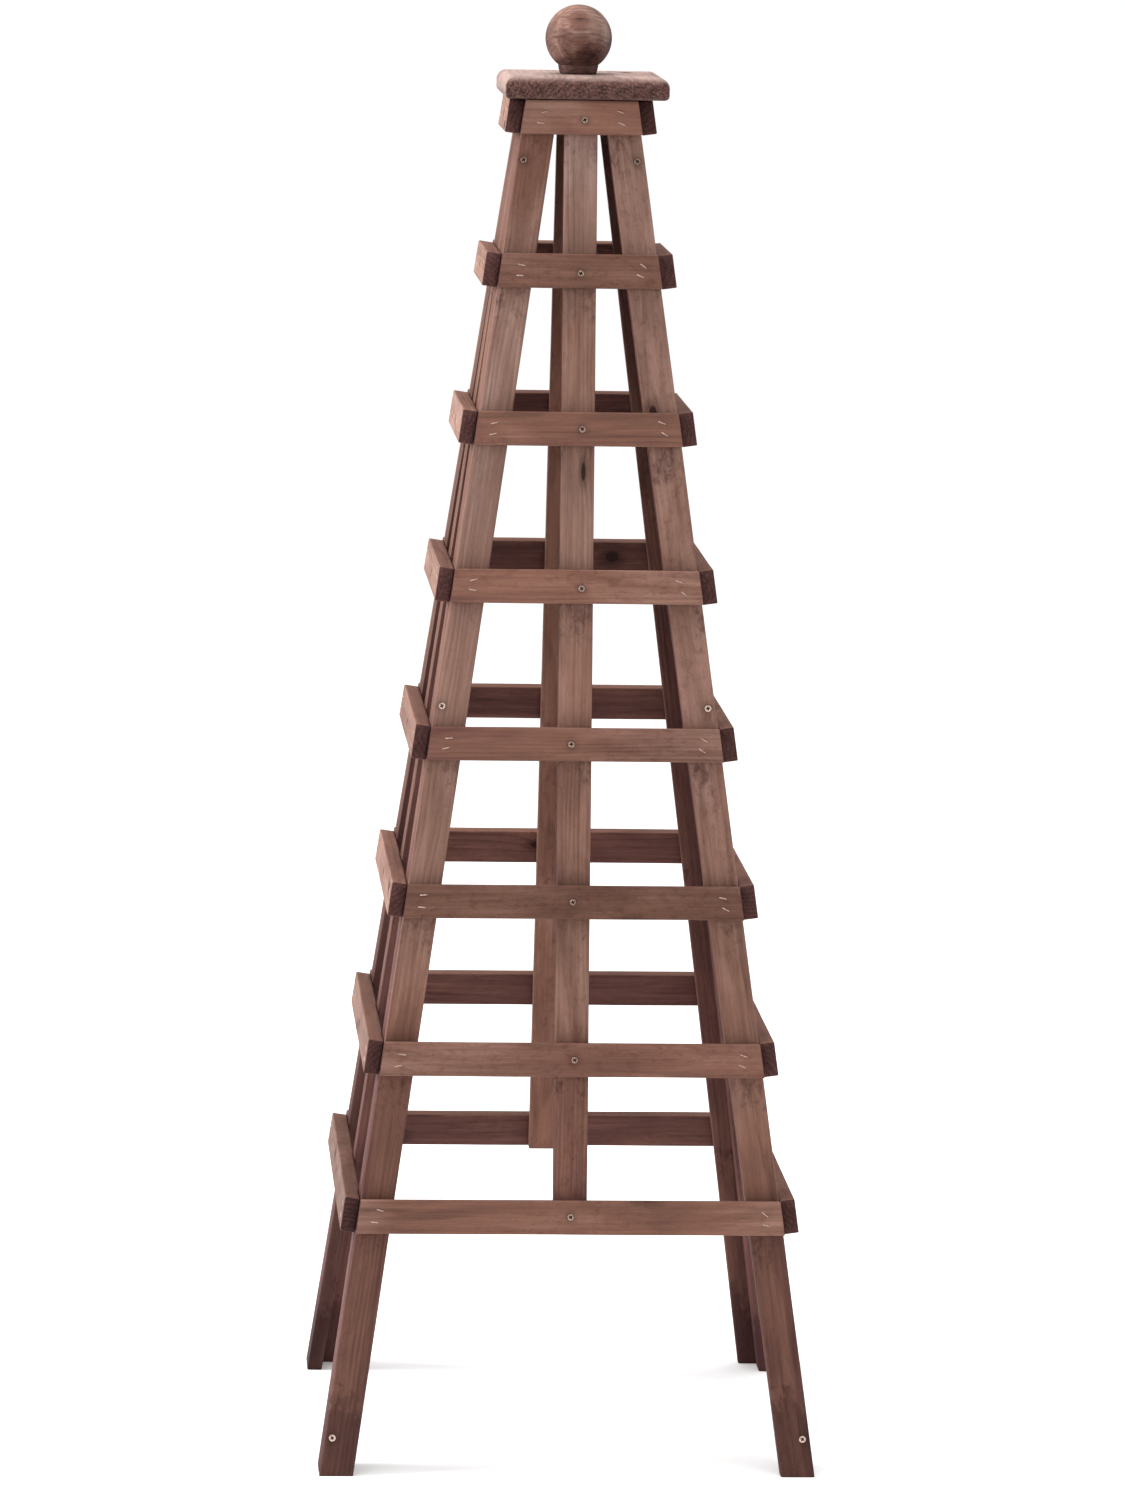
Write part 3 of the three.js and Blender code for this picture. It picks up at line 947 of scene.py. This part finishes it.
def screw_mesh():
    """A countersunk cross-head screw, turned about Z, with its head's face at zero."""
    profile = [
        (POINT_RADIUS, -SCREW_LENGTH),
        (SHANK_RADIUS, -SCREW_LENGTH + POINT_LENGTH),
        (SHANK_RADIUS, -HEAD_DEPTH),
        (HEAD_RADIUS - HEAD_RIM, -4 * HEAD_RIM),
        (HEAD_RADIUS, -2 * HEAD_RIM),
        (HEAD_RADIUS - 3 * HEAD_RIM, 0.0),
    ]
    top = cross_outline(RECESS_REACH * RECESS_FLARE, RECESS_WIDTH * RECESS_FLARE, 2 * HEAD_RIM)
    floor_reach, floor_width = RECESS_REACH * RECESS_FLOOR_REACH, RECESS_WIDTH * RECESS_FLOOR_WIDTH
    recess = lofted_mesh("recess", [cross_outline(floor_reach, floor_width, -RECESS_DEPTH), top])
    screw = cut_out(turned_mesh("screw", profile, SCREW_SIDES), recess)
    for polygon in screw.polygons:
        polygon.material_index = int(in_recess(polygon.center))
    return screw


STAPLE_WIDTH = 0.0080
STAPLE_LEG = 0.012
STAPLE_BEND = 0.0012
STAPLE_BEND_STEPS = 4
WIRE_RADIUS = 0.00058
WIRE_FLATNESS = 1.25
WIRE_SIDES = 10
STAPLE_PROUD = 0.00015


def staple_path():
    """(x, z) along a staple's wire, from the end of one leg to the end of the other."""
    bend_x, bend_z = STAPLE_BEND - STAPLE_WIDTH / 2, STAPLE_PROUD - STAPLE_BEND
    bend = [(bend_x - out, bend_z + up) for out, up in arc(STAPLE_BEND, STAPLE_BEND_STEPS)]
    path = [(-STAPLE_WIDTH / 2, STAPLE_PROUD - STAPLE_LEG), *bend]
    return path + [(-x, z) for x, z in reversed(path)]


def staple_mesh():
    """A wire staple whose crown lies along X, just proud of zero, and whose legs go down."""
    path = staple_path()
    rings = []
    for index, (x, z) in enumerate(path):
        before = Vector(path[max(index - 1, 0)])
        after = Vector(path[min(index + 1, len(path) - 1)])
        ahead = (after - before).normalized()
        up = Vector((-ahead.y, 0.0, ahead.x)) * WIRE_RADIUS
        side = Vector((0.0, WIRE_RADIUS * WIRE_FLATNESS, 0.0))
        turns = [-2 * math.pi * spoke / WIRE_SIDES for spoke in range(WIRE_SIDES)]
        rings.append([Vector((x, 0.0, z)) + up * math.cos(t) + side * math.sin(t) for t in turns])
    return lofted_mesh("staple", rings)


def countersink_mesh(depth):
    """The shape that a screw and its hole take out of the wood, with the face at zero."""
    head = HEAD_RADIUS + HOLE_CLEARANCE
    shank = SHANK_RADIUS + HOLE_CLEARANCE / 2
    profile = [
        (shank, -depth),
        (shank, -MOST_SINK - HEAD_DEPTH),
        (head, -MOST_SINK - HEAD_RIM),
        (head + HOLE_CLEARANCE, -HOLE_CLEARANCE),
        (head + HOLE_FLARE, HOLE_TOP),
    ]
    return turned_mesh("countersink", profile, HOLE_SIDES)


SCREW = screw_mesh()
STAPLE = staple_mesh()

SCREW_TOLERANCE = 0.001  # between the top of a CAD screw and the face that it is in
SLAT_SCREW_ALONG, SLAT_SCREW_ACROSS = 0.005, (-0.006, 0.001)
STAPLE_FROM_END, STAPLE_END_STRAY = 0.021, 0.003
STAPLE_SPREAD, STAPLE_SPREAD_STRAY = 0.0062, 0.0015
STAPLE_LEANS = {-1: 0, 1: -24}  # degrees, at each end
STAPLE_LEAN_STRAY = 16


def corner_screw_places(lath):
    """Where the corner screws enter this lath's outer face, in the lath's own axes: node to place."""
    into_lath = lath.matrix.inverted()
    x_low, x_high = lath.span(ALONG)
    places = {}
    for node in sorted(name for name in nodes if name.startswith("corner_screw_")):
        own = [into_lath @ vertex.co for vertex in nodes[node].data.vertices]
        x, y = ((min(p[i] for p in own) + max(p[i] for p in own)) / 2 for i in (ALONG, ACROSS))
        y_low, y_high = lath.span(ACROSS, (x, 0.0, 0.0))
        place = lath.face(x, y)
        in_face = abs(max(p.z for p in own) - place.z) < SCREW_TOLERANCE
        if in_face and x_low < x < x_high and y_low < y < y_high:
            places[node] = place
    return places


def slat_screw_place(lath, rng):
    """The screw at the middle of a slat goes into the centre stile, a little below the middle."""
    y = rng.uniform(*SLAT_SCREW_ACROSS)
    return lath.face(stray(rng, SLAT_SCREW_ALONG), y)


def staple_matrices(lath, rng):
    """Two staples, one above the other, at each end of a slat, where it crosses the edge stiles."""
    found = []
    for end, lean in STAPLE_LEANS.items():
        for row in (-1, 1):
            y = row * STAPLE_SPREAD + stray(rng, STAPLE_SPREAD_STRAY)
            from_end = STAPLE_FROM_END + stray(rng, STAPLE_END_STRAY)
            x = lath.reach(ALONG, end, (0.0, y, 0.0)) - end * from_end
            turn = math.radians(lean + stray(rng, STAPLE_LEAN_STRAY))
            place = Vector((x, y, lath.face(0.0, 0.0).z))
            found.append(lath.matrix @ (Matrix.Translation(place) @ Matrix.Rotation(turn, 4, "Z")))
    return found


def screw_matrix(lath, place, sink, rng):
    """A screw at place, sunk into the lath's face, its cross turned any way."""
    spin = Matrix.Rotation(rng.uniform(0, math.pi / 2), 4, "Z")
    tilt = Matrix.Rotation(math.radians(stray(rng, SCREW_TILT)), 4, "X")
    return lath.matrix @ (Matrix.Translation(place - Vector((0, 0, sink))) @ tilt @ spin)


def drilled(lath, mesh, places):
    """A lath's mesh with a countersunk hole for the screw at each place."""
    z_low, z_high = lath.span(THROUGH)
    hole = countersink_mesh((z_high - z_low) * HOLE_SHARE)
    return cut_out(mesh, combined_mesh("holes", [(hole, Matrix.Translation(place)) for place in places]))


def make_lath(node, seed):
    """A lath with its corner screws. Returns where its slat screws and its staples go."""
    rng = random.Random(seed)
    lath = Lath(node)
    knots = choose_knots(lath, rng)
    mesh = lofted_mesh(f"{node}_timber", lath_rings(lath, seed))
    corner_screws = corner_screw_places(lath)
    slat_screws = [] if lath.upright else [slat_screw_place(lath, rng)]
    places = list(corner_screws.values()) + slat_screws
    if places:
        mesh = drilled(lath, mesh, places)
    age_wood(mesh, lath_readings(lath, mesh, rng, knots, places))
    add_piece(f"{node}_timber", mesh, lath.matrix, "stained_lath", [LATH_WOOD], node)
    for name, place in corner_screws.items():
        metal = RUSTED_METAL if name.endswith("high") else BRIGHT_METAL
        matrix = screw_matrix(lath, place, CORNER_SINK, rng)
        add_piece(f"{name}_finished", SCREW.copy(), matrix, "plated_screw", [metal, RECESS_SHADE_AND_GRIME], name)
    staples = [] if lath.upright else staple_matrices(lath, rng)
    sink = rng.uniform(LEAST_SINK, MOST_SINK)
    return [screw_matrix(lath, place, sink, rng) for place in slat_screws], staples


def make_side(side, first_seed):
    """A trellis panel: its stiles, its slats, and the screws and staples that hold them."""
    names = [f"{side}_{place}_stile" for place in ("left", "centre", "right")]
    names += [f"{side}_slat_{number}" for number in range(1, SLAT_COUNT + 1)]
    screws, staples = [], []
    for index, node in enumerate(names):
        found_screws, found_staples = make_lath(node, first_seed + index)
        screws += found_screws
        staples += found_staples
    all_screws = combined_mesh(f"{side}_slat_screws", [(SCREW, matrix) for matrix in screws])
    add_piece(f"{side}_slat_screws", all_screws, Matrix(), "plated_screw", [DULL_METAL, RECESS_SHADE_AND_GRIME])
    all_staples = combined_mesh(f"{side}_staples", [(STAPLE, matrix) for matrix in staples])
    add_piece(f"{side}_staples", all_staples, Matrix(), "plated_screw", [STAPLE_METAL])


# ---- cap, ball and head block

SQUARE_CORNER = 0.0025
SQUARE_CORNER_STEPS = 4
SQUARE_SIDE_STEPS = 14


def under_middle(low, high):
    """A matrix that moves the origin to the middle of a box's underside."""
    return Matrix.Translation(((low.x + high.x) / 2, (low.y + high.y) / 2, low.z))


def square_ring(half, height):
    """A square of half width half, with small rounded corners and points along its sides."""
    straight = half - SQUARE_CORNER
    shares = [2 * step / SQUARE_SIDE_STEPS - 1 for step in range(SQUARE_SIDE_STEPS)]
    side = [Vector((half, straight * share, height)) for share in shares]
    corner = arc(SQUARE_CORNER, SQUARE_CORNER_STEPS)[:-1]
    return four_times(side + [Vector((straight + x, straight + y, height)) for x, y in corner])


CAP_ROUNDING = 0.011  # as the frame's cap
CAP_ROUNDING_STEPS = 8
CAP_LOWER_EASE = 0.005
CAP_LOWER_EASE_STEPS = 3
CAP_EDGE_SHARES = (0.25, 0.5, 0.75)
CAP_TOP_INSETS = (0.02, 0.045, 0.07)
CAP_WOBBLE, CAP_WOBBLES = 0.0005, 45.0  # how far its edges are worn, and humps in each metre
CAP_SAWN, CAP_SAW_MARKS = 0.0004, 320.0
CAP_SAWN_FROM = 0.8  # of the way to its end-grain edges
CAP_HOLLOW, CAP_HOLLOWS = 0.0004, 12.0
CAP_LOW_TONE, CAP_HIGH_TONE = 0.8, 1.1  # it is darker towards its lower edge
CAP_UNDERSIDE = 0.001
CAP_WORN_FROM, CAP_WORN_TO = 0.2, 0.8  # of the rounding's height
CAP_END_FACING = (0.4, 0.9)  # how squarely its end grain shows, from not at all to fully
CAP_GRAIN = Vector((3.0, 0.021, 0.047))
CAP_KNOT = (0.045, -0.052, 0.008, 0.006)


def cap_levels(half, thickness):
    """(half width, height) from the underside up, round the lower ease and the upper rounding."""
    levels = []
    for x, y in arc(CAP_LOWER_EASE, CAP_LOWER_EASE_STEPS):
        levels.append((half - (CAP_LOWER_EASE - y), CAP_LOWER_EASE - x))
    for share in CAP_EDGE_SHARES:
        levels.append((half, CAP_LOWER_EASE + share * (thickness - CAP_ROUNDING - CAP_LOWER_EASE)))
    for x, y in arc(CAP_ROUNDING, CAP_ROUNDING_STEPS):
        levels.append((half - (CAP_ROUNDING - x), thickness - (CAP_ROUNDING - y)))
    return levels + [(half - inset, thickness) for inset in CAP_TOP_INSETS]


def worn_cap_ring(ring, half, on_top):
    """Moves a ring's points inwards where the cap is worn or roughly sawn, and hollows its top."""
    for point in ring:
        worn = CAP_WOBBLE * unevenness(point * CAP_WOBBLES)
        sawn = CAP_SAWN * unevenness(point * CAP_SAW_MARKS) if abs(point.x) > CAP_SAWN_FROM * half else 0.0
        point.x -= math.copysign(worn + sawn, point.x)
        point.y -= math.copysign(worn, point.y)
        if on_top:
            point.z -= CAP_HOLLOW * unevenness(point * CAP_HOLLOWS)
    return ring


def cap_reading(vertex, thickness):
    p = vertex.co
    into_rounding = (thickness - p.z) / CAP_ROUNDING
    return {
        **PLAIN,
        **from_knots(p, [CAP_KNOT]),
        "grain": p + CAP_GRAIN,
        "tone": CAP_LOW_TONE + (CAP_HIGH_TONE - CAP_LOW_TONE) * p.z / thickness,
        "wear": 0.5 if CAP_WORN_FROM < into_rounding < CAP_WORN_TO else 0.0,
        "weather": 1.0 if p.z > CAP_UNDERSIDE else 0.3,
        "end_grain": between(abs(vertex.normal.x), *CAP_END_FACING),
    }


def make_cap():
    """The cap's grain runs from front to back, so its front and back edges are end grain."""
    low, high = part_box("cap")
    half = (high.x - low.x) / 2
    thickness = high.z - low.z
    rings = []
    for width, level in cap_levels(half, thickness):
        rings.append(worn_cap_ring(square_ring(width, level), half, level == thickness))
    mesh = lofted_mesh("cap_board", rings)
    age_wood(mesh, [cap_reading(vertex, thickness) for vertex in mesh.vertices])
    matrix = under_middle(low, high) @ Matrix.Rotation(math.pi / 2, 4, "Z")
    add_piece("cap_board", mesh, matrix, "stained_board", [BOARD_WOOD], "cap")


BALL_SIDES = 72
BALL_STEPS = 44
POLE_RADIUS = 0.0004
FOOT_RADIUS, NECK_RADIUS = 0.0208, 0.0228  # as the frame's ball
FOOT_MIDDLE = 0.5  # of FOOT_RADIUS
FOOT_EASE = 0.0008
FOOT_STEPS = 6
NECK_GROOVE, NECK_DROP = 0.0006, 0.0003
TURNING_MARK, TURNING_MARKS = 0.00006, 2.1  # how deep, and the turn of the wave in each step
BALL_GRAIN = Vector((1.7, 0.062, 0.044))
BALL_GRAIN_SCALE = 2.2  # its grain is finer than the laths'
BALL_SHADE_HEIGHT = 0.78  # of its centre's height: below this it is darkened with painted shade
BALL_SHADE_FADE = 0.030
BALL_DEEPEST_SHADE = 0.42
BALL_SHADE_TILT = 0.35
BALL_SHADE_RATE = 60.0
BALL_SHADE_RAGGED = 0.010
BALL_END_FACING = (0.8, 1.0)
BALL_WEATHER = 0.82  # facing forwards
BALL_RIGHT_HIGHLIGHT, BALL_FLANK_HIGHLIGHT = 0.3, 0.45  # painted highlight that the right side and both flanks add to it
# Where the ball is darker: the direction from its centre, how far it reaches, and how much less bleached.
BALL_DARK_PATCHES = [
    (Vector((-0.05, -0.80, 0.60)), 0.42, 0.7),
    (Vector((0.12, -0.98, -0.15)), 0.34, 0.6),
    (Vector((0.35, -0.80, -0.48)), 0.55, 0.9),
]


def ball_profile(radius, centre):
    """(radius, height) of the ball and its foot, from the bottom up."""
    neck = centre - math.sqrt(radius ** 2 - NECK_RADIUS ** 2)
    profile = [(FOOT_RADIUS * FOOT_MIDDLE, 0.0), (FOOT_RADIUS - FOOT_EASE, 0.0), (FOOT_RADIUS, FOOT_EASE)]
    for step in range(1, FOOT_STEPS):
        share = step / FOOT_STEPS
        flare = (NECK_RADIUS - FOOT_RADIUS) * share
        profile.append((FOOT_RADIUS + flare, FOOT_EASE + (neck - FOOT_EASE) * share))
    profile.append((NECK_RADIUS - NECK_GROOVE, neck - NECK_DROP))
    first = -math.acos(NECK_RADIUS / radius)
    for step in range(BALL_STEPS):
        angle = first + (math.pi / 2 - first) * step / BALL_STEPS
        turned = radius - abs(TURNING_MARK * math.sin(step * TURNING_MARKS))
        profile.append((turned * math.cos(angle), centre + radius * math.sin(angle)))
    return profile + [(POLE_RADIUS, centre + radius)]


def ball_weather_and_light(way):
    """How bleached the ball is in a direction from its centre, with a painted highlight on its flanks,
    strongest on the right.
    """
    weather = BALL_WEATHER + BALL_RIGHT_HIGHLIGHT * way.x + BALL_FLANK_HIGHLIGHT * way.x ** 2
    for stain, reach, strength in BALL_DARK_PATCHES:
        weather -= strength * max(0.0, 1 - (way - stain).length / reach)
    return weather


def ball_underside_shade(p, centre):
    """Painted shade darkens the ball's lower part, higher on the right and with a ragged edge."""
    ragged = noise.noise(p * BALL_SHADE_RATE) * BALL_SHADE_RAGGED
    depth = BALL_SHADE_HEIGHT * centre + BALL_SHADE_TILT * p.x + ragged - p.z
    return min(BALL_DEEPEST_SHADE, max(0.0, depth) / BALL_SHADE_FADE)


def make_ball():
    """The ball's grain runs from side to side."""
    low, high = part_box("ball_finial")
    radius = (high.x - low.x) / 2
    centre = high.z - low.z - radius
    mesh = turned_mesh("ball_turned", ball_profile(radius, centre), BALL_SIDES)
    readings = []
    for vertex in mesh.vertices:
        readings.append({
            **PLAIN,
            "grain": (vertex.co + BALL_GRAIN) * BALL_GRAIN_SCALE,
            "weather": ball_weather_and_light((vertex.co - Vector((0.0, 0.0, centre))) / radius),
            # painted shade on the ball's lower part
            "damp": ball_underside_shade(vertex.co, centre),
            "end_grain": between(abs(vertex.normal.x), *BALL_END_FACING),
        })
    age_wood(mesh, readings)
    add_piece("ball_turned", mesh, under_middle(low, high), "turned_wood", [TURNED_WOOD], "ball_finial")


HEAD_BLOCK_EASE = 0.0015
HEAD_BLOCK_LEVELS = (0.012, 0.024)
HEAD_BLOCK_TOP = 0.001  # how near its top a corner must be to belong to it
HEAD_BLOCK_GRAIN = Vector((7.0, 0.03, 0.02))


def make_head_block():
    """The block inside the head, sawn from square stuff to the slope of the stiles."""
    low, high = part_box("head_block")
    bottom_half = (high.x - low.x) / 2
    corners = [vertex.co for vertex in nodes["head_block"].data.vertices]
    top_half = max(corner.x for corner in corners if corner.z > high.z - HEAD_BLOCK_TOP)
    height = high.z - low.z
    rings = []
    for level in (0.0, HEAD_BLOCK_EASE, *HEAD_BLOCK_LEVELS, height - HEAD_BLOCK_EASE, height):
        inset = HEAD_BLOCK_EASE if level in (0.0, height) else 0.0
        half = bottom_half + (top_half - bottom_half) * level / height
        rings.append(square_ring(half - inset, level))
    mesh = lofted_mesh("head_block_timber", rings)
    readings = []
    for vertex in mesh.vertices:
        end_grain = 1.0 if abs(vertex.normal.x) > FACING else 0.0
        grain = vertex.co + HEAD_BLOCK_GRAIN
        readings.append({**PLAIN, "tone": 0.9, "grain": grain, "end_grain": end_grain})
    age_wood(mesh, readings)
    place = under_middle(low, high)
    add_piece("head_block_timber", mesh, place, "stained_board", [BOARD_WOOD], "head_block")


SIDE_SEEDS = 100  # seeds kept for each side's laths

for side_index, side_name in enumerate(SIDES):
    make_side(side_name, SIDE_SEEDS * (side_index + 1))
make_cap()
make_ball()
make_head_block()
nodes["finial_screw"].data.materials.clear()
nodes["finial_screw"].data.materials.append(DULL_METAL)

# ---- floor and light

FLOOR_RADIUS = 90.0
FLOOR_SIDES = 64
FLOOR_GLOW = 0.12  # so that it stays white where it meets the sky
WHITE = colour(1.0, 1.0, 1.0)
WORLD_STRENGTH = 1.0
OBELISK_MIDDLE = Vector((0.0, 0.0, cad_box[1].z / 2))
KEY_PLACE, KEY_SIZE, KEY_POWER = Vector((-4.6, 0.0, 3.7)), 2.4, 330.0
TOP_PLACE, TOP_SIZE, TOP_POWER = Vector((-0.2, 0.0, 5.5)), 3.0, 130.0


def make_floor():
    floor_material = Graph("pale_floor").finish({
        "Base Color": colour(0.9, 0.9, 0.9),
        "Roughness": 0.95,
        "Specular IOR Level": 0.1,
        "Emission Color": WHITE,
        "Emission Strength": FLOOR_GLOW,
    })
    mesh = bpy.data.meshes.new("floor")
    disc = bmesh.new()
    bmesh.ops.create_circle(disc, cap_ends=True, radius=FLOOR_RADIUS, segments=FLOOR_SIDES)
    disc.to_mesh(mesh)
    disc.free()
    mesh.materials.append(floor_material)
    make_object("floor", mesh)


def make_world():
    world = bpy.data.worlds.new("studio")
    world.use_nodes = True
    background = world.node_tree.nodes["Background"]
    background.inputs["Color"].default_value = WHITE
    background.inputs["Strength"].default_value = WORLD_STRENGTH
    bpy.context.scene.world = world


def soft_light(name, place, size, power):
    """A round light that shines on the middle of the obelisk."""
    data = bpy.data.lights.new(name, "AREA")
    data.shape = "DISK"
    data.size = size
    data.energy = power
    light = bpy.data.objects.new(name, data)
    bpy.context.scene.collection.objects.link(light)
    light.location = place
    light.rotation_euler = (OBELISK_MIDDLE - place).to_track_quat("-Z", "Y").to_euler()


make_floor()
make_world()
soft_light("key", KEY_PLACE, KEY_SIZE, KEY_POWER)
soft_light("top", TOP_PLACE, TOP_SIZE, TOP_POWER)
bpy.context.scene.view_settings.view_transform = "Standard"
bpy.context.scene.view_settings.look = "None"
